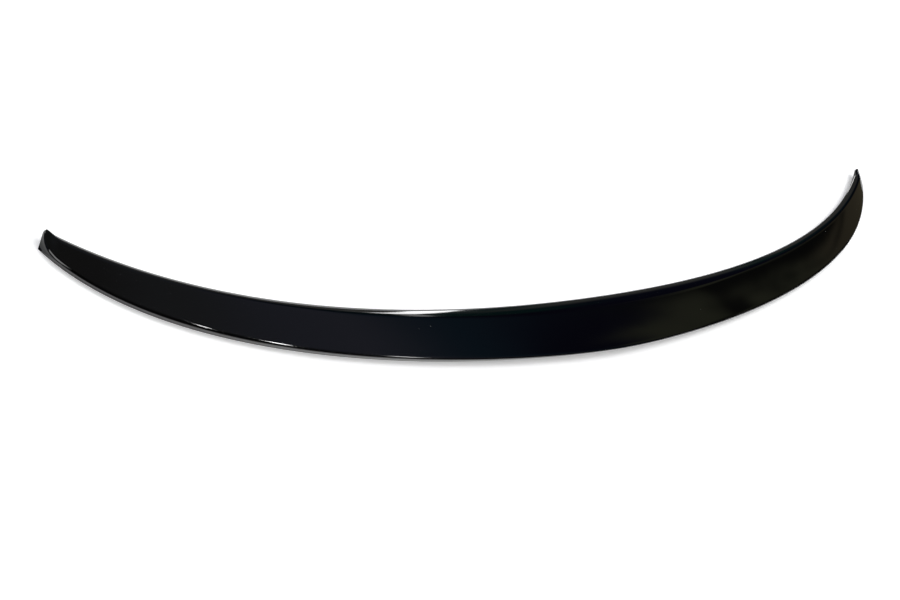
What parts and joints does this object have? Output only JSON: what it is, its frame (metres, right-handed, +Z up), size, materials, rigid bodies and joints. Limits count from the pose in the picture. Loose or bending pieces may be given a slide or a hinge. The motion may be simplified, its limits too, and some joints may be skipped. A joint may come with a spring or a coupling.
{
  "type": "car rear spoiler",
  "caption": "Crescent lip spoiler for a boot lid, moulded whole in gloss plastic: bevelled front edge, raised rear lip, undercut rear wall, blunt ends and a ribbed underside.",
  "frame": {"origin": "on the surface that the spoiler lies on, under the middle of its box", "axes": "+X across the car, +Y towards the front of the car, +Z up as the spoiler lies at rest"},
  "size_m": [1.1478, 0.1764, 0.0131],
  "materials": {
    "gloss_black": "high gloss black"
  },
  "bodies": {
    "root": {"spoiler": "gloss_black"}
  },
  "joints": []
}
